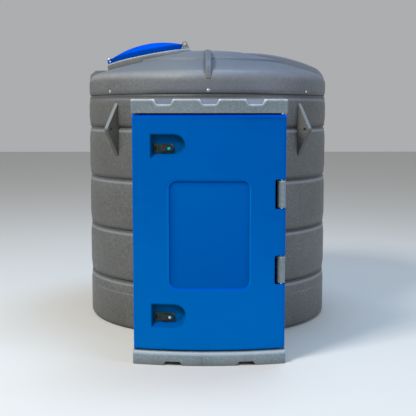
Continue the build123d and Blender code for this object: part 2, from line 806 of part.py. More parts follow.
def lid():
    form = lid_form(0)
    rims = form.edges().filter_by(lambda e: (e @ 0.5).Z > lid_skirt - 1)
    form = fillet(rims, lid_edge_round)
    form -= lid_form(lid_wall)
    root = lid_chord - lid_arm_lap
    arm = Box(lid_hinge_u - root, 2 * lid_barrel_half, lid_arm_height)
    arm = arm.moved(Location(((lid_hinge_u + root) / 2, 0, lid_hinge_height - lid_arm_drop)))
    barrel = Cylinder(lid_barrel_radius, 2 * lid_barrel_half, rotation=(90, 0, 0))
    barrel = barrel.moved(Location((lid_hinge_u, 0, lid_hinge_height)))
    form += arm + barrel
    bore = Cylinder(lid_pin_radius + lid_pin_gap, 3 * lid_barrel_half, rotation=(90, 0, 0))
    form -= bore.moved(Location((lid_hinge_u, 0, lid_hinge_height)))
    inner_edge = lid_radius - lid_wall / 2
    tab = Box(tab_reach - inner_edge, 2 * tab_half_width, tab_height - lid_seat_gap)
    tab = tab.moved(Location((-(tab_reach + inner_edge) / 2, 0, (tab_height + lid_seat_gap) / 2)))
    uprights = tab.edges().filter_by(Axis.Z).filter_by(lambda e: (e @ 0).X < -tab_reach + 1)
    tab = fillet(uprights, tab_corner)
    form += tab
    slot = Box(staple_thickness + 2 * staple_gap, 2 * (staple_half_width + staple_gap), 4 * tab_height)
    form -= slot.moved(Location((staple_u, 0, 0)))
    return form.moved(neck_plane.location)


def lid_hinge_bracket():
    """Two ears on a pad; their backs lean forward and run into the round heads."""
    head = (lid_hinge_u, lid_hinge_height)
    lean = radians(30)
    brow = (head[0] + lid_ear_round * cos(lean), head[1] + lid_ear_round * sin(lean))
    toe = (lid_hinge_u - bracket_toe, 0)
    heel = (lid_hinge_u + bracket_heel, 0)
    outline = Polygon(toe, heel, brow, head, (lid_hinge_u - lid_ear_round, lid_hinge_height), align=None)
    outline += Circle(lid_ear_round).moved(Location(head))
    outline -= Circle(lid_pin_radius + 0.1).moved(Location(head))
    upright = Plane(origin=(0, 0, 0), x_dir=(1, 0, 0), z_dir=(0, -1, 0))
    ear = extrude(outline, lid_ear_thickness).moved(upright.location)
    near = ear.moved(Location((0, -lid_ear_inner, 0)))
    far = ear.moved(Location((0, lid_ear_inner + lid_ear_thickness, 0)))
    pad = Box(bracket_toe + bracket_heel, 2 * lid_ear_inner, bracket_pad)
    pad = pad.moved(Location(((toe[0] + heel[0]) / 2, 0, bracket_pad / 2)))
    return (near + far + pad).moved(neck_plane.location)


def lid_hinge_pin():
    half = lid_ear_inner + lid_ear_thickness
    pin = Cylinder(lid_pin_radius, 2 * half, rotation=(90, 0, 0))
    for side in (-1, 1):
        head = Cylinder(lid_pin_head, lid_pin_head_height, rotation=(90, 0, 0))
        pin += head.moved(Location((0, side * (half + lid_pin_head_height / 2), 0)))
    return pin.moved(Location((lid_hinge_u, 0, lid_hinge_height))).moved(neck_plane.location)


def lid_staple():
    face = Rectangle(2 * staple_half_width, staple_top - staple_half_width)
    face = face.moved(Location((0, (staple_top - staple_half_width) / 2)))
    face += Circle(staple_half_width).moved(Location((0, staple_top - staple_half_width)))
    face -= Circle(staple_hole).moved(Location((0, staple_top - staple_half_width)))
    upright = Plane(origin=(staple_u - staple_thickness / 2, 0, 0), x_dir=(0, 1, 0), z_dir=(1, 0, 0))
    return extrude(face, staple_thickness).moved(upright.location).moved(neck_plane.location)


nodes = {
    "outer_wall": bund_wall(),
    "outer_floor": bund_floor(),
    "tie_down_lugs": tie_down_lugs(),
    "roof_hood": roof_hood(),
    "hood_bolts": hood_bolts(),
    "lid_collar": lid_collar(),
    "inner_tank": inner_tank(),
    "inner_tank_roof": inner_tank_roof(),
    "inner_neck": inner_neck(),
    "inner_cap": inner_cap(),
    "cabinet_roof": cabinet_roof(),
    "cabinet_base": cabinet_base(),
    "cabinet_left_wall": cabinet_wall(-1),
    "cabinet_right_wall": cabinet_wall(1),
    "cabinet_back": cabinet_back(),
    "hinge_knuckles": hinge_knuckles(),
    "hinge_rod": hinge_rod(),
    "door": door(),
    "latch_plates": latch_plates(),
    "lower_lever": latch_lever(latch_z[0]),
    "upper_lever": latch_lever(latch_z[1]),
    "lower_lock": lock_cylinder(latch_z[0]),
    "upper_lock": lock_cylinder(latch_z[1]),
    "lid": lid(),
    "lid_hinge_bracket": lid_hinge_bracket(),
    "lid_hinge_pin": lid_hinge_pin(),
    "lid_staple": lid_staple(),
}

os.makedirs("parts", exist_ok=True)
for name, shape in nodes.items():
    export_step(shape, "parts/" + name + ".step")
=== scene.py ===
# %% [markdown]
# The frame. The tank's solids come from its CAD model, already in place, and this script frees them from
# their parents and dresses them.

import json
from math import cos, pi, radians, sin

import bmesh
import bpy
from mathutils import Matrix, Vector


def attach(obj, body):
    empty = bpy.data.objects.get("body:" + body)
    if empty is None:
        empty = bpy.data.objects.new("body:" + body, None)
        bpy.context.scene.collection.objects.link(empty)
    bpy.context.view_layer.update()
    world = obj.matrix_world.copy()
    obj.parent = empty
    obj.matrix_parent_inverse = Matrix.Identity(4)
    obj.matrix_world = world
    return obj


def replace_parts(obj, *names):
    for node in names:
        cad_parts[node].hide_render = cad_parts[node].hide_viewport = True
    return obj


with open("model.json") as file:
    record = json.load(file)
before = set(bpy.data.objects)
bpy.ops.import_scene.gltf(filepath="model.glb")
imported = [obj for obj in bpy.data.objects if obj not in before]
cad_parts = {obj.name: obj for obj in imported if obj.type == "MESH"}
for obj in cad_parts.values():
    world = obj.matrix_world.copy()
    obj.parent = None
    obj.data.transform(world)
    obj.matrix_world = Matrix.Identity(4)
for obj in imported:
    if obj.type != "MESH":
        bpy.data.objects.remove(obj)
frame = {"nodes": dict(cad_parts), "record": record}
nodes = frame["nodes"]
joint_of = {joint["name"]: joint for joint in frame["record"]["behaviour"]["joints"]}
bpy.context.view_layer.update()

# %% [markdown]
# The camera. It stands a good seven metres from the tank's axis, at eye height and tipped a few degrees
# down: the grooves round the tank open downwards as ellipses, more so near the ground, and that gives
# the height of the eye. A camera could also be aimed with a Track To constraint, but plain numbers for
# place, tilt and lens are easier to check against the picture.

# %% Camera
EYE = (-0.057, -7.188, 1.711)
PITCH_DOWN = radians(6.18)
TURN_RIGHT = radians(0.454)
SENSOR_WIDTH = 36.0
LENS_OVER_SENSOR = 817.4 / 416
SHIFT_X, SHIFT_Y = 0.0016, -0.0135
camera_data = bpy.data.cameras.new("eye")
camera_data.sensor_width = SENSOR_WIDTH
camera_data.lens = SENSOR_WIDTH * LENS_OVER_SENSOR
camera_data.shift_x = SHIFT_X
camera_data.shift_y = SHIFT_Y
camera = bpy.data.objects.new("eye", camera_data)
camera.location = EYE
camera.rotation_euler = (pi / 2 - PITCH_DOWN, 0.0, -TURN_RIGHT)
bpy.context.scene.collection.objects.link(camera)
bpy.context.scene.camera = camera
print("lens", round(camera_data.lens, 1), "mm")

# %% [markdown]
# The floor. It is one large square of pale matt paint that takes the tank's soft shadow. A backdrop that
# curves up behind the tank would hide the horizon, but one flat square is simpler.

# %% Floor
FLOOR_WIDTH = 60.0
FLOOR_GREY = (0.64, 0.64, 0.63, 1.0)
floor_paint = bpy.data.materials.new("pale_floor")
floor_paint.use_nodes = True
floor_shader = floor_paint.node_tree.nodes["Principled BSDF"]
floor_shader.inputs["Base Color"].default_value = FLOOR_GREY
floor_shader.inputs["Roughness"].default_value = 0.9
half = FLOOR_WIDTH / 2
corners = [(-half, -half, 0), (half, -half, 0), (half, half, 0), (-half, half, 0)]
floor_mesh = bpy.data.meshes.new("floor")
floor_mesh.from_pydata(corners, [], [(0, 1, 2, 3)])
floor_mesh.materials.append(floor_paint)
floor = bpy.data.objects.new("floor", floor_mesh)
bpy.context.scene.collection.objects.link(floor)
print("floor laid,", FLOOR_WIDTH, "m wide")

# %% [markdown]
# The light. In the photo it is as even as an open sky's, and nothing on the tank has a hard shadow. The
# left shoulder of the hood is the lightest and warmest place, the dome above it is bluer, and the right
# flank is darker and cooler. So there are three large panels: a warm one high in front on the left, a
# blue one overhead and a weak pale blue one on the right. A pale world fills in the rest. A sun lamp
# would be simpler, but its shadows would be too crisp.


# %% Light
def soft_panel(name, place, aim, size, power, colour):
    light = bpy.data.lights.new(name, "AREA")
    light.shape = "SQUARE"
    light.size = size
    light.energy = power
    light.color = colour
    lamp = bpy.data.objects.new(name, light)
    lamp.location = place
    lamp.rotation_mode = "QUATERNION"
    lamp.rotation_quaternion = (Vector(aim) - Vector(place)).to_track_quat("-Z", "Y")
    bpy.context.scene.collection.objects.link(lamp)


SKY_COLOUR = (0.97, 0.98, 1.0, 1.0)
SKY_STRENGTH = 0.43
MIDDLE = (0.0, -0.4, 1.1)
sky = bpy.data.worlds.new("even_sky")
sky.use_nodes = True
sky.node_tree.nodes["Background"].inputs["Color"].default_value = SKY_COLOUR
sky.node_tree.nodes["Background"].inputs["Strength"].default_value = SKY_STRENGTH
bpy.context.scene.world = sky
bpy.context.scene.view_settings.view_transform = "Standard"
soft_panel("sky_panel", (0.9, 0.3, 7.5), MIDDLE, 2.6, 250.0, (0.45, 0.7, 1.0))
soft_panel("key_panel", (-5.4, -6.4, 9.2), MIDDLE, 2.8, 1080.0, (1.0, 0.97, 0.9))
soft_panel("right_panel", (6.5, -5.0, 2.5), MIDDLE, 3.0, 190.0, (0.62, 0.77, 1.0))

# %% [markdown]
# Shader helpers, first the sources. Every finish here starts from a noise that lives on the object, or
# from a mask: how high a point lies, how far its face points up, or how crowded the space round it is.
# They could be wired by hand in the shader editor, but written once as small functions they keep a
# finish down to the lines that make it different from the others.


# %% Shader helpers: sources
class Source:
    """A Principled material, and the patterns and masks that a finish can start from."""

    def __init__(self, name, roughness, metallic=0.0, specular=0.5):
        self.material = bpy.data.materials.new(name)
        self.material.use_nodes = True
        self.tree = self.material.node_tree
        self.shader = self.tree.nodes["Principled BSDF"]
        self.shader.inputs["Roughness"].default_value = roughness
        self.shader.inputs["Metallic"].default_value = metallic
        self.shader.inputs["Specular IOR Level"].default_value = specular
        self.place = self.tree.nodes.new("ShaderNodeTexCoord").outputs["Object"]

    def link(self, output, target):
        self.tree.links.new(output, target)

    def noise(self, scale, detail=3.0, roughness=0.55, stretch=None):
        """Noise with scale as cells per metre, squeezed along an axis where water or a mould does it."""
        node = self.tree.nodes.new("ShaderNodeTexNoise")
        node.inputs["Scale"].default_value = scale
        node.inputs["Detail"].default_value = detail
        node.inputs["Roughness"].default_value = roughness
        source = self.place
        if stretch:
            mapping = self.tree.nodes.new("ShaderNodeMapping")
            mapping.inputs["Scale"].default_value = stretch
            self.link(source, mapping.inputs["Vector"])
            source = mapping.outputs["Vector"]
        self.link(source, node.inputs["Vector"])
        return node.outputs["Fac"]

    def part(self, vector, axis):
        node = self.tree.nodes.new("ShaderNodeSeparateXYZ")
        self.link(vector, node.inputs["Vector"])
        return node.outputs[axis]

    def height(self):
        """Height above the ground, in metres."""
        return self.part(self.place, "Z")

    def rightward(self):
        """Distance to the right of the tank's axis as the camera sees it, in metres."""
        return self.part(self.place, "X")

    def upward(self, normal):
        """How far a normal points up: 0 on a wall, 1 on a level top."""
        return self.part(normal, "Z")

    def crowding(self, reach, inside):
        """Share of the space within reach of a point that is open, outside the skin or inside it."""
        node = self.tree.nodes.new("ShaderNodeAmbientOcclusion")
        node.samples = 8
        node.inside = inside
        node.inputs["Distance"].default_value = reach
        return node.outputs["AO"]

    def rounded(self, radius):
        """Normals of a softly rounded edge, without moving the surface."""
        node = self.tree.nodes.new("ShaderNodeBevel")
        node.samples = 4
        node.inputs["Radius"].default_value = radius
        return node.outputs["Normal"]


print("patterns and masks ready")

# %% [markdown]
# Shader helpers, then the steps. A source is spread over a range of values, multiplied with others and
# used to mix two colours, or it drives the roughness or a bump. Chains of the same few nodes do all of
# it, and a short name for each lets a finish read from top to bottom, as coats on the piece.


# %% Shader helpers: steps
class Finish(Source):
    """Short names for the steps that a finish is made of."""

    def maths(self, operation, a, b=0.0):
        node = self.tree.nodes.new("ShaderNodeMath")
        node.operation = operation
        self.link(a, node.inputs[0])
        if isinstance(b, float):
            node.inputs[1].default_value = b
        else:
            self.link(b, node.inputs[1])
        return node.outputs["Value"]

    def times(self, a, b):
        return self.maths("MULTIPLY", a, b)

    def span(self, value, low, high, to_low=0.0, to_high=1.0):
        """The part of a value between low and high, spread over a new range."""
        node = self.tree.nodes.new("ShaderNodeMapRange")
        node.inputs["From Min"].default_value = low
        node.inputs["From Max"].default_value = high
        node.inputs["To Min"].default_value = to_low
        node.inputs["To Max"].default_value = to_high
        self.link(value, node.inputs["Value"])
        return node.outputs["Result"]

    def hump(self, value, low, start, stop, high, top=1.0):
        """0 up to low, the top value between start and stop, 0 again from high."""
        rise = self.span(value, low, start, 0.0, top)
        return self.times(rise, self.span(value, stop, high, 1.0, 0.0))

    def shelter(self, reach):
        """How sheltered a point is: 0 in the open, towards 1 deep in a groove or corner."""
        return self.span(self.crowding(reach, False), 0.35, 1.0, 1.0, 0.0)

    def edges(self, reach):
        """1 along the edges that stick out, where straps and hands rub first and painted highlights go."""
        return self.span(self.crowding(reach, True), 0.62, 0.93, 1.0, 0.0)

    def blend(self, amount, first, second):
        """Colour that goes from first to second as amount goes from 0 to 1."""
        node = self.tree.nodes.new("ShaderNodeMix")
        node.data_type = "RGBA"
        self.link(amount, node.inputs["Factor"])
        for socket, colour in ((node.inputs["A"], first), (node.inputs["B"], second)):
            if isinstance(colour, tuple):
                socket.default_value = (*colour, 1.0)
            else:
                self.link(colour, socket)
        return node.outputs["Result"]

    def paint(self, colour):
        self.link(colour, self.shader.inputs["Base Color"])

    def gloss(self, value):
        self.link(value, self.shader.inputs["Roughness"])

    def bump(self, *layers, normal=None):
        """Bumps as (value, height in metres), one on top of the other."""
        for value, depth in layers:
            node = self.tree.nodes.new("ShaderNodeBump")
            node.inputs["Distance"].default_value = depth
            self.link(value, node.inputs["Height"])
            if normal:
                self.link(normal, node.inputs["Normal"])
            normal = node.outputs["Normal"]
        self.link(normal, self.shader.inputs["Normal"])


print("steps ready")

# %% [markdown]
# Pigment. The tank is moulded by rolling powder round in a hot mould, and the powder never mixes quite
# evenly, so the grey drifts over half a metre, is wiped sideways by the mould's turning and carries
# darker and paler grains the size of a pea. Three noises at three sizes make it. A painted texture
# would also do, but it would show its repeat on a wall six metres round.


# %% Pigment
def pigment(finish, deep, light, grain, grain_size):
    """Uneven tone between a deep and a light one, with grains of a size in metres."""
    patches = finish.span(finish.noise(2.2, 4.0), 0.3, 0.7)
    tone = finish.blend(patches, deep, light)
    wipes = finish.span(finish.noise(3.5, 5.0, 0.65, stretch=(1.0, 1.0, 6.0)), 0.35, 0.7, 0.0, 0.5)
    tone = finish.blend(wipes, tone, light)
    if grain:
        dark = tuple(0.62 * c for c in deep)
        pale = tuple(min(1.0, 1.5 * c) for c in light)
        blotch = finish.span(finish.noise(48.0, 4.0, 0.7), 0.38, 0.62, 0.0, 0.7 * grain)
        tone = finish.blend(blotch, tone, dark)
        specks = finish.span(finish.noise(1.0 / grain_size, 2.0, 0.6), 0.36, 0.48, grain, 0.0)
        tone = finish.blend(specks, tone, dark)
        flecks = finish.span(finish.noise(0.8 / grain_size, 2.0, 0.6), 0.53, 0.64, 0.0, grain)
        tone = finish.blend(flecks, tone, pale)
    return tone


print("pigment ready")

# %% [markdown]
# Weather and painted shade. Rain carries dust down the walls and leaves it in grooves and corners,
# where shade falls too, so the ambient occlusion node paints the sheltered places darker, as dust and
# painted shade together, through a noise that runs in streaks. The same node turned inside out finds the
# edges that stick out, and those that also face up are painted pale, partly as wear and partly as a
# painted highlight where they catch the sky.
# Splashes from the ground leave a thin film of dirt on the lowest third of a metre.

# %% Weather, painted shade and edge highlights
SPLASH_HEIGHT = 0.32


def shaded_and_weathered(finish, tone, shade, reach, shade_share):
    """Dust and painted shade in sheltered places, and splashes near the ground."""
    streaks = finish.span(finish.noise(9.0, 4.0, 0.6, stretch=(1.0, 1.0, 0.12)), 0.45, 0.75)
    dust_and_shade = finish.span(streaks, 0.0, 1.0, 0.6 * shade_share, shade_share)
    # Painted shade and dust darken the sheltered places, in streaks.
    tone = finish.blend(finish.times(finish.shelter(reach), dust_and_shade), tone, shade)
    splash = finish.times(finish.span(finish.height(), 0.0, SPLASH_HEIGHT, 0.5, 0.0), streaks)
    return finish.blend(splash, tone, shade)


def rubbed_and_highlit(finish, tone, share, reach, worn_and_lit):
    """Edges that stick out and face up, paled in patches: partly wear, partly a painted highlight."""
    patchy = finish.span(finish.noise(24.0, 3.0, 0.6), 0.3, 0.6, 0.65 * share, share)
    topside = finish.span(finish.upward(finish.rounded(1.5 * reach)), 0.0, 0.3)
    rubbing_and_highlight = finish.times(finish.times(finish.edges(reach), topside), patchy)
    # Wear and a painted highlight pale these edges together.
    return finish.blend(rubbing_and_highlight, tone, worn_and_lit)


def pebbled(finish, roughness, pebble, normal):
    """The matt skin that a rolling mould leaves: slow waves, then fine pebbles."""
    finish.gloss(finish.span(finish.noise(40.0, 3.0), 0.3, 0.7, roughness - 0.07, roughness + 0.09))
    finish.bump(
        (finish.noise(7.0, 2.0), 0.004),
        (finish.noise(90.0, 3.0, 0.6), 2.0 * pebble),
        (finish.noise(260.0, 3.0, 0.6), pebble),
        normal=normal,
    )


print("weather ready")

# %% [markdown]
# Moulded plastic. Each plastic of the tank is pigment, then weather with painted shade, then worn edges
# with painted highlights, and the skin. What sets the pieces apart comes in the middle: the wall's bands,
# the hood's shoulder and the lid's skirt each paint their own light and shade into the tone, and a
# function that does this is handed in as the last value.


# %% Moulded plastic
def moulded(name, deep, light, shade, roughness, grain=0.0, pebble=0.00035, specular=0.5, edge=0.004,
            reach=0.05, shade_share=0.75, wear_and_highlight=0.0, edge_reach=0.012, worn_and_lit=(0.8, 0.84, 0.88),
            grain_size=0.0075, own=None):
    finish = Finish(name, roughness, specular=specular)
    soft = finish.rounded(edge)
    tone = pigment(finish, deep, light, grain, grain_size)
    tone = shaded_and_weathered(finish, tone, shade, reach, shade_share)
    if own:
        tone = own(finish, tone, finish.upward(soft))
    if wear_and_highlight:
        tone = rubbed_and_highlit(finish, tone, wear_and_highlight, edge_reach, worn_and_lit)
    finish.paint(tone)
    pebbled(finish, roughness, pebble, soft)
    return finish.material


FINISHES = {}
print("moulding ready")

# %% [markdown]
# The tank's wall. Each band is a barrel, so it is painted lighter near its top and darker near its foot
# as the light falls on it, with a painted highlight on a pale lip right under every groove and painted
# shade in a dark line right above it. The height, divided by the pitch of the grooves, gives one number
# that runs from 0 to 1 over each band, and the marks are set on it. The lowest band also has a faint pale
# line where two parts of the mould met, a painted highlight along the step they leave.

# %% Wall
GROOVE_FIRST = 0.384
GROOVE_PITCH = 0.406
SEAM_Z = 1.863
MOULD_LINE_Z = 0.283
MOULD_LINE_HALF = 0.005
WALL_DEEP = (0.081, 0.085, 0.082)
WALL_LIGHT = (0.132, 0.136, 0.132)
GREY_SHADE = (0.042, 0.04, 0.037)
BAND_SHADE = (0.06, 0.058, 0.055)
GROOVE_SHADE = (0.02, 0.019, 0.018)
LIP_HIGHLIGHT = (0.25, 0.275, 0.31)
SEAM_LIP_HIGHLIGHT = (0.22, 0.265, 0.35)
SEAM_SHADE = (0.036, 0.037, 0.04)


def banded(finish, tone, up):
    """Painted shade on bands, grooves and seam, painted highlights on their lips and the mould line."""
    height = finish.height()
    bands = finish.maths("DIVIDE", finish.maths("SUBTRACT", height, GROOVE_FIRST), GROOVE_PITCH)
    rise = finish.maths("FRACT", bands)
    # Painted shade: each band darker towards its foot, and a dark line at each groove.
    tone = finish.blend(finish.span(rise, 0.1, 0.9, 0.32, 0.0), tone, BAND_SHADE)
    tone = finish.blend(finish.span(rise, 0.02, 0.09, 0.75, 0.0), tone, GROOVE_SHADE)
    tone = finish.blend(finish.span(rise, 0.965, 0.98, 0.0, 0.6), tone, GROOVE_SHADE)
    # Painted highlight on the lip under each groove.
    tone = finish.blend(finish.hump(rise, 0.9, 0.925, 0.95, 0.965, 0.6), tone, LIP_HIGHLIGHT)
    # Painted shade just under the seam, then a painted highlight on the wall's lip below it.
    tone = finish.blend(finish.span(height, SEAM_Z - 0.03, SEAM_Z - 0.022, 0.0, 0.6), tone, SEAM_SHADE)
    seam_lip_highlight = finish.hump(height, SEAM_Z - 0.054, SEAM_Z - 0.045, SEAM_Z - 0.036, SEAM_Z - 0.028, 0.4)
    seam_lip_highlight = finish.times(seam_lip_highlight, finish.span(finish.rightward(), -0.95, -0.6, 0.1, 1.0))
    tone = finish.blend(seam_lip_highlight, tone, SEAM_LIP_HIGHLIGHT)
    # Painted highlight along the mould line's step, broken by a noise.
    broken = finish.span(finish.noise(6.0, 3.0), 0.35, 0.6, 0.1, 0.5)
    foot, head = MOULD_LINE_Z - MOULD_LINE_HALF, MOULD_LINE_Z + MOULD_LINE_HALF
    mould_line_highlight = finish.hump(height, foot, foot + 0.004, head - 0.004, head)
    return finish.blend(finish.times(mould_line_highlight, broken), tone, LIP_HIGHLIGHT)


FINISHES["wall"] = moulded(
    "grey_wall", WALL_DEEP, WALL_LIGHT, GREY_SHADE, 0.46, grain=0.75, grain_size=0.0068, specular=0.5,
    edge=0.009, wear_and_highlight=0.15, edge_reach=0.01, own=banded,
)
print("wall ready")

# %% [markdown]
# The hood. Its skirt is painted paler in front, a painted light, and carries painted shade just above
# the seam. Its shoulder carries a painted highlight, and its dome, level enough to face the sky, a
# painted reflection of it, more grey on the left and more blue on the right. The shade is set by height
# and the other two by how far the surface points up. Steep faces high on the hood, such as the sides of
# its back corners, carry a painted highlight that makes them paler than the dome round them, and the
# front rib carries painted shade.

# %% Hood
DOME_REFLECTION_LEFT = (0.116, 0.13, 0.152)
DOME_REFLECTION_RIGHT = (0.077, 0.097, 0.138)
STEEP_HIGHLIGHT = (0.24, 0.26, 0.29)
RIB_SHADE = (0.066, 0.077, 0.1)
SKIRT_FRONT_LIGHT = (0.17, 0.187, 0.215)
DOME_FOOT_Z = 2.04
STEEP_FOOT_Z = 1.985
RIB_FOOT_Z = 2.0
SHOULDER_HIGHLIGHT_LEFT = (0.265, 0.276, 0.288)
SHOULDER_HIGHLIGHT_RIGHT = (0.145, 0.158, 0.197)
HOOD_DEEP = (0.1, 0.104, 0.107)
HOOD_LIGHT = (0.155, 0.161, 0.166)


def domed(finish, tone, up):
    """Painted light and shade on the skirt, shoulder, dome, steep faces and front rib, in turn."""
    height = finish.height()
    side = finish.maths("ABSOLUTE", finish.rightward())
    # A painted light on the front of the skirt.
    front = finish.hump(finish.rightward(), -0.75, -0.3, 0.35, 0.8, 0.55)
    tone = finish.blend(front, tone, SKIRT_FRONT_LIGHT)
    # Painted shade just above the seam.
    tone = finish.blend(finish.span(height, SEAM_Z, SEAM_Z + 0.04, 0.35, 0.0), tone, SEAM_SHADE)
    cloud = finish.span(finish.noise(5.0, 5.0, 0.7), 0.3, 0.65, 0.6, 1.0)
    # A painted highlight on the shoulder, paler and warmer on the left.
    shoulder_highlight = finish.blend(finish.span(finish.rightward(), -0.2, 0.2), SHOULDER_HIGHLIGHT_LEFT, SHOULDER_HIGHLIGHT_RIGHT)
    tone = finish.blend(finish.times(finish.hump(up, 0.15, 0.55, 0.72, 0.98, 0.72), cloud), tone, shoulder_highlight)
    # A painted reflection of the sky on the dome, greyer on the left and bluer on the right.
    sky = finish.blend(finish.span(finish.rightward(), -0.25, 0.25), DOME_REFLECTION_LEFT, DOME_REFLECTION_RIGHT)
    tone = finish.blend(finish.span(height, DOME_FOOT_Z, DOME_FOOT_Z + 0.05, 0.0, 0.75), tone, sky)
    tone = finish.blend(finish.times(finish.span(up, 0.55, 1.0, 0.0, 0.9), cloud), tone, sky)
    # A painted highlight on steep faces high on the hood.
    high_up = finish.span(height, STEEP_FOOT_Z, STEEP_FOOT_Z + 0.02)
    steep_highlight = finish.times(finish.span(up, 0.15, 0.45, 0.35, 0.0), high_up)
    tone = finish.blend(finish.times(steep_highlight, finish.span(side, 0.1, 0.14)), tone, STEEP_HIGHLIGHT)
    # Painted shade on the front rib and the dome just beside it.
    on_dome = finish.span(height, RIB_FOOT_Z, RIB_FOOT_Z + 0.03)
    front_rib_shade = finish.times(finish.span(side, 0.03, 0.045, 0.6, 0.0), on_dome)
    return finish.blend(front_rib_shade, tone, RIB_SHADE)


FINISHES["hood"] = moulded(
    "grey_hood", HOOD_DEEP, HOOD_LIGHT, GREY_SHADE, 0.5, grain=0.55, specular=0.33, edge=0.009,
    wear_and_highlight=0.2, edge_reach=0.01, own=domed,
)
print("hood ready")

# %% [markdown]
# The lugs and the lid's collar. The lugs are moulded in the wall's grey. Their upper faces catch the sky
# and their lower ones lie in shade, painted as a highlight and as shade, and how far a face points up
# tells the two apart. The collar is a paler grey, and its edges are painted paler still, partly as wear
# and partly as a painted highlight, so it only needs other colours and more of both.

# %% Lugs and collar
GREY_DEEP = (0.104, 0.103, 0.102)
GREY_LIGHT = (0.162, 0.16, 0.158)
TOPSIDE_HIGHLIGHT = (0.25, 0.275, 0.3)
UNDERSIDE_SHADE = (0.05, 0.052, 0.046)
COLLAR_DEEP = (0.14, 0.148, 0.155)
COLLAR_LIGHT = (0.2, 0.208, 0.212)


def topped(finish, tone, up):
    """Painted highlight where a face points up, painted shade where it points down."""
    tone = finish.blend(finish.span(up, 0.25, 0.45, 0.0, 0.6), tone, TOPSIDE_HIGHLIGHT)
    return finish.blend(finish.span(up, -0.35, -0.12, 0.75, 0.0), tone, UNDERSIDE_SHADE)


FINISHES["grey_polyethylene"] = moulded(
    "grey_polyethylene", GREY_DEEP, GREY_LIGHT, GREY_SHADE, 0.46, grain=0.5, specular=0.4, edge=0.006,
    own=topped,
)
FINISHES["collar"] = moulded(
    "collar_grey", COLLAR_DEEP, COLLAR_LIGHT, GREY_SHADE, 0.46, grain=0.25, specular=0.5,
    wear_and_highlight=1.5, edge_reach=0.016, worn_and_lit=(0.66, 0.75, 0.73),
)
print("lugs and collar ready")

# %% [markdown]
# The cabinet's slabs. They are the same plastic in a lighter, bluer grey with coarser grains. Their
# outer edges are painted almost white, partly as wear and partly as a painted highlight where they catch
# the sky, most of all along the top front edge and round the lifting recesses. Level faces, such as the
# floor of each recess, carry painted shade in a darker blue grey, and the direction of the face is enough
# to find them.

# %% Cabinet slabs
CABINET_DEEP = (0.122, 0.158, 0.181)
CABINET_LIGHT = (0.172, 0.211, 0.237)
CABINET_SHADE = (0.04, 0.045, 0.04)
LEVEL_SHADE = (0.08, 0.092, 0.125)


def levelled(finish, tone, up):
    """Painted shade where a face is level."""
    return finish.blend(finish.span(up, 0.8, 0.9, 0.0, 0.9), tone, LEVEL_SHADE)


def paler(colour, share):
    return tuple(share * c for c in colour)


FINISHES["light_polyethylene"] = moulded(
    "light_polyethylene", CABINET_DEEP, CABINET_LIGHT, CABINET_SHADE, 0.42, grain=0.36,
    specular=0.45, grain_size=0.009, wear_and_highlight=0.95, edge_reach=0.02, worn_and_lit=(0.76, 0.8, 0.87), own=levelled,
)
print("slabs ready")

# %% [markdown]
# The base slab. In the photo it is the palest grey piece just under its top edge, painted here as a
# highlight on its lip, and it fades to a darker grey near the ground. A second object could carry the
# pale band, but both marks go by height, so a finish of its own is enough.

# %% Base slab
BASE_TOP_Z = 0.096
BASE_LIP_HIGHLIGHT = (0.48, 0.58, 0.68)
GROUND_GREY = (0.1, 0.125, 0.14)


def grounded(finish, tone, up):
    """Darker near the ground, with a painted highlight on the lip just under the top edge."""
    height = finish.height()
    tone = finish.blend(finish.span(height, 0.0, 0.75 * BASE_TOP_Z, 0.55, 0.0), tone, GROUND_GREY)
    foot, head = BASE_TOP_Z - 0.028, BASE_TOP_Z - 0.001
    lip_highlight = finish.hump(height, foot, foot + 0.014, head - 0.006, head, 0.7)
    return finish.blend(lip_highlight, tone, BASE_LIP_HIGHLIGHT)


FINISHES["base"] = moulded(
    "light_base", paler(CABINET_DEEP, 1.4), paler(CABINET_LIGHT, 1.45), CABINET_SHADE, 0.42, grain=0.4,
    specular=0.45, grain_size=0.01, wear_and_highlight=0.4, edge_reach=0.016, worn_and_lit=(0.5, 0.57, 0.63), own=grounded,
)
print("base slab ready")

# %% [markdown]
# The hinge knuckles. They are round in front, and in the photo their left side is softly shaded where
# it meets the door's cut-out. A mask of how crowded the place is could do it, but the distance to the
# right of the tank's axis is simpler, and it fixes how wide the shade is.

# %% Hinge knuckles
KNUCKLE_LEFT_X = 0.458
KNUCKLE_SHADE_WIDTH = 0.034
CORNER_SHADE = (0.045, 0.058, 0.053)


def cornered(finish, tone, up):
    """Painted shade towards the knuckle's left side."""
    right = KNUCKLE_LEFT_X + KNUCKLE_SHADE_WIDTH
    return finish.blend(finish.span(finish.rightward(), KNUCKLE_LEFT_X, right, 0.75, 0.0), tone, CORNER_SHADE)


FINISHES["knuckle"] = moulded(
    "knuckle_grey", paler(CABINET_DEEP, 1.18), paler(CABINET_LIGHT, 1.18), CABINET_SHADE, 0.42, grain=0.5,
    specular=0.45, grain_size=0.008, wear_and_highlight=0.6, edge_reach=0.014, worn_and_lit=(0.6, 0.68, 0.72), own=cornered,
)
print("knuckles ready")

# %% [markdown]
# The blue lid. The blue of the lid and the door is so strong that almost no red comes back from it, so
# it has no white sheen at all: the mirror part of its shader is turned off. The lid's dome is a
# brighter, fresher blue than its skirt, which drops away from the sky and carries painted shade.

# %% Blue lid
SKIRT_SHADE_BLUE = (0.0, 0.04, 0.27)


def skirted(finish, tone, up):
    """Painted shade where the lid drops away from the sky."""
    return finish.blend(finish.span(up, 0.35, 0.9, 0.75, 0.0), tone, SKIRT_SHADE_BLUE)


FINISHES["lid_polyethylene"] = moulded(
    "lid_polyethylene", (0.0, 0.056, 0.46), (0.0, 0.072, 0.6), (0.0, 0.03, 0.15), 0.42,
    pebble=0.00008, specular=0.0, edge=0.02, own=skirted,
)
print("lid ready")

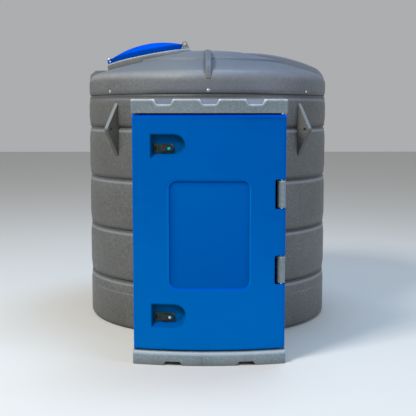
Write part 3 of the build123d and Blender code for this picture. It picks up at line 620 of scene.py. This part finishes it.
# %% [markdown]
# The door's sunk panel. It is a little darker than the door, with painted shade on its borders at its
# head and sides, a painted highlight on the lip round it and a brighter sill as a painted highlight. The
# door is bowed, so how deep a point is sunk shows as its distance from the bow's upright axis, and that
# and the height place every mark. Painting the panel by its face indices would break as soon as the
# solid is built again.

# %% Sunk panel
LIP_HIGHLIGHT_BLUE = (0.0, 0.17, 0.58)
PANEL_HEAD_BLUE = (0.0, 0.0933, 0.379)
PANEL_FOOT_BLUE = (0.0, 0.083, 0.36)
PANEL_EDGE_SHADE = (0.0, 0.064, 0.31)
SILL_HIGHLIGHT_BLUE = (0.0, 0.085, 0.5)
PANEL_SILL_Z, PANEL_HEAD_Z = 0.53, 1.266
PANEL_SIDE_X = 0.273
PANEL_DEPTH = 0.013
DOOR_FRONT_RADIUS = 2.22732
BOW_CENTRE_Y = 0.47932


def sunk(finish, start, full):
    """0 on the door's bowed front and on its back, 1 where the front is sunk by a full depth."""
    x = finish.rightward()
    y = finish.maths("SUBTRACT", finish.part(finish.place, "Y"), BOW_CENTRE_Y)
    radius = finish.maths("SQRT", finish.maths("ADD", finish.times(x, x), finish.times(y, y)))
    deepest = DOOR_FRONT_RADIUS - PANEL_DEPTH
    stop, high = DOOR_FRONT_RADIUS - full, DOOR_FRONT_RADIUS - start
    return finish.hump(radius, deepest - 0.003, deepest - 0.002, stop, high)


def lipped(finish, tone, field):
    """A painted highlight on the lip round the sunk panel, and a soft one along its left side."""
    height = finish.height()
    foot, head, left = PANEL_SILL_Z, PANEL_HEAD_Z, -PANEL_SIDE_X
    upright = finish.hump(finish.rightward(), left - 0.015, left - 0.009, left, left + 0.005, 0.45)
    between = finish.hump(height, foot + 0.03, foot + 0.06, head - 0.06, head - 0.03)
    tone = finish.blend(finish.times(between, upright), tone, LIP_HIGHLIGHT_BLUE)
    return finish.blend(finish.times(field, sunk(finish, 0.0004, 0.0012)), tone, LIP_HIGHLIGHT_BLUE)


def panelled(finish, tone, up, side):
    """Lip highlight, a darker field with painted shade on its borders, and the sill highlight."""
    height, x = finish.height(), finish.rightward()
    foot, head, edge = PANEL_SILL_Z, PANEL_HEAD_Z, PANEL_SIDE_X
    tall = finish.hump(height, foot - 0.03, foot - 0.025, head + 0.025, head + 0.03)
    field = finish.times(tall, finish.span(side, edge + 0.02, edge + 0.025, 1.0, 0.0))
    tone = lipped(finish, tone, field)
    bed = finish.times(field, sunk(finish, 0.006, 0.01))
    fading = finish.span(height, foot, head)
    tone = finish.blend(bed, tone, finish.blend(fading, PANEL_FOOT_BLUE, PANEL_HEAD_BLUE))
    # Painted shade along the field's left, right and top borders.
    left = finish.span(x, 0.01 - edge, 0.06 - edge, 0.8, 0.0)
    right = finish.span(x, edge - 0.06, edge - 0.01, 0.0, 0.25)
    top = finish.span(height, head - 0.045, head - 0.012, 0.0, 0.8)
    border_shade = finish.maths("MAXIMUM", finish.maths("MAXIMUM", left, right), top)
    tone = finish.blend(finish.times(bed, border_shade), tone, PANEL_EDGE_SHADE)
    # A painted highlight on the sill where it faces up.
    sill_highlight = finish.hump(height, foot - 0.03, foot - 0.02, foot + 0.02, foot + 0.03)
    return finish.blend(finish.times(finish.span(up, 0.1, 0.4), sill_highlight), tone, SILL_HIGHLIGHT_BLUE)


print("panel", round(PANEL_HEAD_Z - PANEL_SILL_Z, 3), "m tall")

# %% [markdown]
# The blue door. It is paler towards its foot. Its top edge catches the sky and carries a painted
# highlight of purer blue, and the pockets of the latches, whose upper slopes face the ground, are painted
# navy as shade. The pockets are found by their height, which is that of the levers' joints, and by how
# sheltered they are.

# %% Blue door
DOOR_TOP_Z = 1.707
DOOR_SIDE_X = 0.5205
RIM_HIGHLIGHT_BLUE = (0.0, 0.13, 0.95)
FOOT_BLUE = (0.0, 0.147, 0.5)
SLOPE_SHADE_BLUE = (0.0, 0.08, 0.33)
POCKET_SHADE_BLUE = (0.0, 0.052, 0.13)
LATCH_SIDES = ("lower", "upper")
POCKET_HEIGHTS = [joint_of[side + "_lever_turn"]["pos_m"][2] for side in LATCH_SIDES]


def pocketed(finish, tone, up):
    """Painted navy shade in both latch pockets, deepest where they are sheltered or face the ground."""
    for middle in POCKET_HEIGHTS:
        pocket = finish.hump(finish.height(), middle - 0.12, middle - 0.1, middle + 0.1, middle + 0.12)
        # Painted shade where the pocket is sheltered, and more where its slopes face the ground.
        deep = finish.times(finish.shelter(0.12), finish.span(up, 0.0, 0.25, 1.6, 0.3))
        tone = finish.blend(finish.times(deep, pocket), tone, POCKET_SHADE_BLUE)
        overhang_shade = finish.span(up, -0.3, -0.08, 1.0, 0.0)
        tone = finish.blend(finish.times(overhang_shade, pocket), tone, POCKET_SHADE_BLUE)
    return tone


def door_tones(finish, tone, up):
    """Paler foot, then painted shade on up slopes, the panel, the pockets and rim highlights, in turn."""
    height = finish.height()
    side = finish.maths("ABSOLUTE", finish.rightward())
    tone = finish.blend(finish.span(height, 0.1, 1.5, 0.6, 0.0), tone, FOOT_BLUE)
    # Painted shade on slopes that face up: a set blue against the light they catch.
    tone = finish.blend(finish.span(up, 0.15, 0.5), tone, SLOPE_SHADE_BLUE)
    tone = panelled(finish, tone, up, side)
    tone = pocketed(finish, tone, up)
    # Painted highlights of purer blue along the top rim and the side rims.
    top_rim_highlight = finish.span(height, DOOR_TOP_Z - 0.02, DOOR_TOP_Z - 0.013, 0.0, 0.95)
    tone = finish.blend(top_rim_highlight, tone, RIM_HIGHLIGHT_BLUE)
    side_rim_highlight = finish.span(side, DOOR_SIDE_X - 0.01, DOOR_SIDE_X - 0.006, 0.0, 0.12)
    return finish.blend(side_rim_highlight, tone, RIM_HIGHLIGHT_BLUE)


# The door's third colour is painted shade in sheltered places, and its pure blue worn colour is a painted
# highlight on its upward edges.
FINISHES["blue_polyethylene"] = moulded(
    "blue_polyethylene", (0.0, 0.077, 0.332), (0.0, 0.092, 0.378), (0.0, 0.068, 0.29), 0.45,
    pebble=0.0001, specular=0.0, edge=0.018, reach=0.12, shade_share=1.0,
    wear_and_highlight=0.2, edge_reach=0.014, worn_and_lit=(0.0, 0.17, 1.0), own=door_tones,
)
print("door ready, pockets at", POCKET_HEIGHTS)

# %% [markdown]
# The plain plastics: the milky inner tank and the black latches. Both have little pigment to mix, so
# their tone is even, and the latches carry a faint pale bluish line along their upper edges, partly
# where fingers have rubbed them and partly a painted highlight of the sky.

# %% Plain plastics
BLACKS = ((0.008, 0.018, 0.018), (0.014, 0.027, 0.027), (0.003, 0.006, 0.006))
FINISHES["inner_polyethylene"] = moulded(
    "inner_polyethylene", (0.5, 0.49, 0.45), (0.6, 0.59, 0.55), (0.3, 0.28, 0.22), 0.5, pebble=0.0002
)
FINISHES["black_plastic"] = moulded(
    "black_plastic", *BLACKS, 0.45, pebble=0.00008, specular=0.25, edge=0.001, reach=0.02,
    wear_and_highlight=0.25, edge_reach=0.003, worn_and_lit=(0.15, 0.22, 0.3),
)
print(len(FINISHES), "plastics")

# %% [markdown]
# Zinc-plated steel. The bolts, the hinge rod, the lid's pin and the lock cylinders are small and bright,
# and in the photo each is little more than a spark. Plating is never mirror-flat: it clouds in patches
# and dulls in its corners. A metal with a noise on its roughness does both. The two lock cylinders are
# not bare: each is capped in a coloured, faintly glossy plastic.

# %% Steel
CORNER_DULL = (0.17, 0.16, 0.15)


def zinc(name, dark, bright, roughness):
    finish = Finish(name, roughness, metallic=1.0)
    cloud = finish.span(finish.noise(90.0, 4.0, 0.7), 0.35, 0.7)
    tone = finish.blend(cloud, dark, bright)
    dull = finish.times(finish.shelter(0.012), 0.5)
    finish.paint(finish.blend(dull, tone, CORNER_DULL))
    finish.gloss(finish.span(finish.noise(160.0, 3.0), 0.3, 0.7, roughness - 0.06, roughness + 0.14))
    finish.bump((finish.noise(500.0, 2.0), 0.00006))
    return finish.material


FINISHES["zinc_steel"] = zinc("zinc_steel", (0.6, 0.62, 0.64), (0.86, 0.88, 0.9), 0.34)
FINISHES["dull_zinc"] = zinc("dull_zinc", (0.22, 0.235, 0.25), (0.36, 0.375, 0.39), 0.5)
FINISHES["bright_steel"] = zinc("bright_steel", (0.85, 0.88, 0.86), (1.0, 1.0, 0.98), 0.45)
LOCK_COLOURS = {"lower": (0.26, 0.5, 0.62), "upper": (0.0, 0.36, 0.45)}
for side, colour in LOCK_COLOURS.items():
    bright = tuple(min(1.0, 1.3 * c) for c in colour)
    FINISHES[side + "_lock"] = moulded(
        side + "_lock_face", colour, bright, (0.0, 0.1, 0.14), 0.35, pebble=0.00003, specular=0.1,
        edge=0.001, reach=0.01,
    )
print("steel and lock faces ready")

# %% [markdown]
# Dressing the solids. The record says which plastic or metal each solid is made of, and most take that
# finish. The few whose looks depend on where they sit have a finish of their own. A dictionary of those
# few is shorter, and easier to check, than a long list with every solid in it.

# %% Put the finishes on the carried-over solids
OWN_FINISH = {
    "outer_wall": "wall",
    "roof_hood": "hood",
    "lid_collar": "collar",
    "cabinet_base": "base",
    "hinge_knuckles": "knuckle",
    "lid_hinge_bracket": "dull_zinc",
    "lid_staple": "bright_steel",
    "lower_lock": "lower_lock",
    "upper_lock": "upper_lock",
}
slot_of = {row["node"]: row["material_slot"] for row in frame["record"]["subparts"]}
for name, solid in nodes.items():
    material = FINISHES[OWN_FINISH.get(name, slot_of[name])]
    if not solid.data.materials:
        solid.data.materials.append(material)
    for index in range(len(solid.data.materials)):
        solid.data.materials[index] = material
print("finished", len(nodes), "solids")

# %% [markdown]
# Turned pieces. Bolt heads, washers, bushes and lock faces are all round about an axis of their own. A
# screw modifier could spin a profile into each of them, but they are so small and so many that one
# function, which adds a turned profile to a mesh at any place, makes them in one go. A profile that
# starts and ends on the axis gives a closed solid.


# %% Turned pieces
def turned(bm, profile, matrix, segments=32):
    """Adds a solid turned from (radius, height) points to a mesh, in the frame that the matrix gives."""
    angles = [2 * pi * step / segments for step in range(segments)]
    rings = []
    for radius, height in profile:
        if radius:
            points = [Vector((radius * cos(a), radius * sin(a), height)) for a in angles]
        else:
            points = [Vector((0.0, 0.0, height))]
        rings.append([bm.verts.new(matrix @ point) for point in points])
    for lower, upper in zip(rings, rings[1:]):
        for step in range(segments):
            after = step + 1
            corners = [lower[step % len(lower)], lower[after % segments % len(lower)]]
            corners += [upper[after % segments % len(upper)], upper[step % len(upper)]]
            bm.faces.new(list(dict.fromkeys(corners)))


def piece_from(name, bm, material, body):
    """Closes a mesh into an object that rides on a body."""
    bmesh.ops.recalc_face_normals(bm, faces=bm.faces)
    mesh = bpy.data.meshes.new(name)
    bm.to_mesh(mesh)
    bm.free()
    for polygon in mesh.polygons:
        polygon.use_smooth = True
    mesh.materials.append(material)
    piece = bpy.data.objects.new(name, mesh)
    bpy.context.scene.collection.objects.link(piece)
    split = piece.modifiers.new("crisp_edges", "EDGE_SPLIT")
    split.split_angle = radians(35)
    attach(piece, body)
    print(name, len(mesh.polygons), "faces")
    return piece


# %% [markdown]
# The hood's bolts. Six screws round the skirt hold the hood down on the wall. In the photo each is a
# bright dot, and the one in front is a little larger, so each gets a flat washer under a domed head
# with a socket. They stand in for the plain hexagon heads of the solid model.

# %% Hood bolts
SKIRT_RADIUS = 1.0135
BOLT_Z = 1.887
BOLT_ANGLES = (0, 50, 130, 180, 230, 310)
BOLT_PROFILE = (
    (0.0, -0.006), (0.0125, -0.006), (0.0125, 0.001), (0.0115, 0.0022), (0.0088, 0.0022), (0.0088, 0.004),
    (0.0081, 0.0066), (0.0062, 0.0084), (0.0036, 0.0092), (0.0032, 0.0092), (0.0032, 0.0065), (0.0, 0.0065),
)
FRONT_BOLT_SCALE = 1.2
SIDE_BOLT_SCALE = 0.9


def outward(angle_degrees, radius, z):
    """Frame with its Z axis pointing out from the tank, at an angle counted from the front."""
    turn = radians(angle_degrees - 90)
    place = Vector((radius * cos(turn), radius * sin(turn), z))
    return Matrix.Translation(place) @ Matrix.Rotation(turn, 4, "Z") @ Matrix.Rotation(pi / 2, 4, "Y")


bm = bmesh.new()
for angle in BOLT_ANGLES:
    scale = SIDE_BOLT_SCALE if angle else FRONT_BOLT_SCALE
    profile = [(scale * radius, height) for radius, height in BOLT_PROFILE]
    turned(bm, profile, outward(angle, SKIRT_RADIUS, BOLT_Z))
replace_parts(piece_from("domed_hood_bolts", bm, FINISHES["zinc_steel"], "tank"), "hood_bolts")

# %% [markdown]
# The hinge's bright parts. A polished collar sits round the rod on the base, under each knuckle and
# under the roof, with a small screw in front of the upper three. In the photo there are only white
# sparks at the door's right edge, so what they are is a guess. A cylinder could stand for each, but a
# turned bar has softened ends. They stand on the hinge's line, which the door's joint gives.

# %% Hinge collars and screws
HINGE_X, HINGE_Y = joint_of["door_hinge"]["pos_m"][:2]
COLLAR_RADIUS = 0.0125
COLLAR_SPANS = ((0.0964, 0.1012), (0.5526, 0.5598), (1.0706, 1.0778), (1.7084, 1.7156))
SCREW_RADIUS = 0.0075
SCREW_AHEAD = 0.0205
SCREW_SPANS = ((0.5535, 0.562), (1.0715, 1.08), (1.7085, 1.718))


def stub(bm, radius, foot, head, ahead=0.0):
    """Adds a short round bar with softened ends, standing on the hinge's line or ahead of it."""
    soft = 0.001
    profile = ((0.0, foot), (radius - soft, foot), (radius, foot + soft))
    profile += ((radius, head - soft), (radius - soft, head), (0.0, head))
    turned(bm, profile, Matrix.Translation((HINGE_X, HINGE_Y - ahead, 0.0)))


bm = bmesh.new()
for foot, head in COLLAR_SPANS:
    stub(bm, COLLAR_RADIUS, foot, head)
for foot, head in SCREW_SPANS:
    stub(bm, SCREW_RADIUS, foot, head, SCREW_AHEAD)
piece_from("hinge_collars", bm, FINISHES["bright_steel"], "tank")

# %% [markdown]
# A frame for the latches. Their small parts are easiest to place in the latch's own frame: x along the
# door, y up and z out of the pocket. The lever turns about that z, so its joint gives both the place and
# the direction, and the two latches need no numbers of their own.


# %% Latch frame
def latch_frame(side):
    """The frame of a lever's joint, with x along the door and z out of the pocket."""
    joint = joint_of[side + "_lever_turn"]
    out, up = Vector(joint["axis"]), Vector((0.0, 0.0, 1.0))
    axes = Matrix((up.cross(out), up, out)).transposed().to_4x4()
    return Matrix.Translation(joint["pos_m"]) @ axes


def block(bm, matrix, middle, size):
    """Adds a plain block to a mesh, in the frame that the matrix gives."""
    shape = Matrix.Translation(middle) @ Matrix.Diagonal((*size, 1.0))
    bmesh.ops.create_cube(bm, size=1.0, matrix=matrix @ shape)


print("latch frames ready")

# %% [markdown]
# The latches' small parts. Each lever carries a lock with a coloured face, which is cyan on the upper
# latch and paler on the lower one, a raised ring round its boss and a dark keyway. The plate has a
# slot at its left end, and a black strip in it is painted shade: it keeps the blue door from showing
# through, so the slot looks as dark as its shade. What turns with a lever rides on that lever's body,
# and the strips ride on the door.

# %% Latch details
LOCK_X = 0.044
LOCK_TOP = -0.0225
PLATE_BACK = -0.042
LEVER_TOP = -0.0245
FACE_PROFILE = ((0.0, -0.0012), (0.0085, -0.0012), (0.0085, 0.0003), (0.0078, 0.0011), (0.0, 0.0013))
RING_PROFILE = (
    (0.0, -0.0008), (0.0175, -0.0008), (0.0175, 0.0), (0.0168, 0.0007), (0.0155, 0.0007), (0.0148, 0.0001),
    (0.0, 0.0001),
)
KEYWAY_SIZE = (0.0016, 0.0085, 0.001)
KEYWAY_RISE = 0.0012
STRIP_X = -0.05
STRIP_SIZE = (0.0105, 0.027, 0.0062)
# A near-black that stands for the shade in the plates' slots.
FINISHES["slot_shade_black"] = moulded(
    "slot_shade_black", (0.002, 0.002, 0.002), (0.004, 0.004, 0.004), (0.001, 0.001, 0.001), 0.6,
    pebble=0.00004, specular=0.1, edge=0.001,
)
FINISHES["lever_black"] = moulded(
    "lever_black", *BLACKS, 0.45, pebble=0.00004, specular=0.25, edge=0.001,
)
for side in LATCH_SIDES:
    latch = latch_frame(side)
    bm = bmesh.new()
    turned(bm, FACE_PROFILE, latch @ Matrix.Translation((LOCK_X, 0.0, LOCK_TOP)))
    piece_from(side + "_lock_face", bm, FINISHES[side + "_lock"], side + "_handle")
    bm = bmesh.new()
    block(bm, latch, (LOCK_X, 0.0, LOCK_TOP + KEYWAY_RISE), KEYWAY_SIZE)
    turned(bm, RING_PROFILE, latch @ Matrix.Translation((0.0, 0.0, LEVER_TOP)), 48)
    piece_from(side + "_keyway_and_ring", bm, FINISHES["lever_black"], side + "_handle")
bm = bmesh.new()
for side in LATCH_SIDES:
    block(bm, latch_frame(side), (STRIP_X, 0.0, PLATE_BACK + STRIP_SIZE[2] / 2), STRIP_SIZE)
piece_from("latch_shade_strips", bm, FINISHES["slot_shade_black"], "door_leaf")

# %% [markdown]
# The bright sliver round the plate's upper right end. It is a painted reflection of the sky: a thin
# round sliver that hugs the plate's edge where the edge turns from its top to its end, in a pale blue
# metal that shows as a thin pale blue arc. A bevelled curve would do as well, but rings of points joined
# by faces give a closed mesh in one go.

# %% Plate glint
GLINT_CENTRE_X = 0.046
GLINT_LIFT = 0.005
GLINT_RADIUS = 0.0318
GLINT_WIRE = 0.0011
GLINT_ANGLES = range(12, 73, 5)
WIRE_SIDES = 8
glint_finish = zinc("painted_sky_glint", (0.2, 0.36, 0.8), (0.3, 0.48, 0.95), 0.4)
spokes = [2 * pi * k / WIRE_SIDES for k in range(WIRE_SIDES)]
bm = bmesh.new()
for side in LATCH_SIDES:
    latch = latch_frame(side)
    rings = []
    for degrees in GLINT_ANGLES:
        turn = radians(degrees)
        ray, out = Vector((cos(turn), sin(turn), 0.0)), Vector((0.0, 0.0, 1.0))
        middle = Vector((GLINT_CENTRE_X, 0.0, PLATE_BACK + GLINT_LIFT)) + GLINT_RADIUS * ray
        points = [middle + GLINT_WIRE * (cos(a) * ray + sin(a) * out) for a in spokes]
        rings.append([bm.verts.new(latch @ point) for point in points])
    for one, two in zip(rings, rings[1:]):
        for k in range(WIRE_SIDES):
            after = (k + 1) % WIRE_SIDES
            bm.faces.new((one[k], one[after], two[after], two[k]))
    bm.faces.new(rings[0])
    bm.faces.new(rings[-1])
piece_from("plate_glint_slivers", bm, glint_finish, "door_leaf")

# %% [markdown]
# The lid's locking ears. At its left end the lid's tab is rolled into a round eye on either side of the
# steel staple, with a bright screw head in each. An ear is a turned disc that lies across the lid, in
# the tilted frame of the neck, and the staple stays free between the two.

# %% Lid ears
NECK_PLACE = (-0.503, 0.0, 2.196)
NECK_TILT = radians(11)
EAR_U, EAR_RISE = -0.328, 0.028
EAR_PROFILE = (
    (0.0, -0.007), (0.023, -0.007), (0.025, -0.005), (0.025, 0.005), (0.023, 0.007), (0.019, 0.007),
    (0.017, 0.004), (0.0, 0.004),
)
SCREW_PROFILE = ((0.0, 0.003), (0.0075, 0.003), (0.0075, 0.0075), (0.0055, 0.0095), (0.0, 0.01))
EAR_OFFSET = 0.029
SCREW_SHIFT = -0.008
neck = Matrix.Translation(NECK_PLACE) @ Matrix.Rotation(-NECK_TILT, 4, "Y")
ears, screws = bmesh.new(), bmesh.new()
for side in (-1, 1):
    place = Matrix.Translation((EAR_U, side * EAR_OFFSET, EAR_RISE))
    across = neck @ place @ Matrix.Rotation(-side * pi / 2, 4, "X")
    turned(ears, EAR_PROFILE, across, 40)
    turned(screws, SCREW_PROFILE, across @ Matrix.Translation((SCREW_SHIFT, 0.0, 0.0)))
# The ears are a brighter copy of the lid's blue, a painted highlight where their round rims catch the light.
ear_highlight_blue = moulded(
    "ear_highlight_blue", (0.0, 0.1, 0.5), (0.0, 0.13, 0.6), (0.0, 0.02, 0.12), 0.42, pebble=0.00008, specular=0.0,
    edge=0.002, reach=0.012,
)
piece_from("lid_ears", ears, ear_highlight_blue, "lid_leaf")
piece_from("lid_ear_screws", screws, FINISHES["bright_steel"], "lid_leaf")
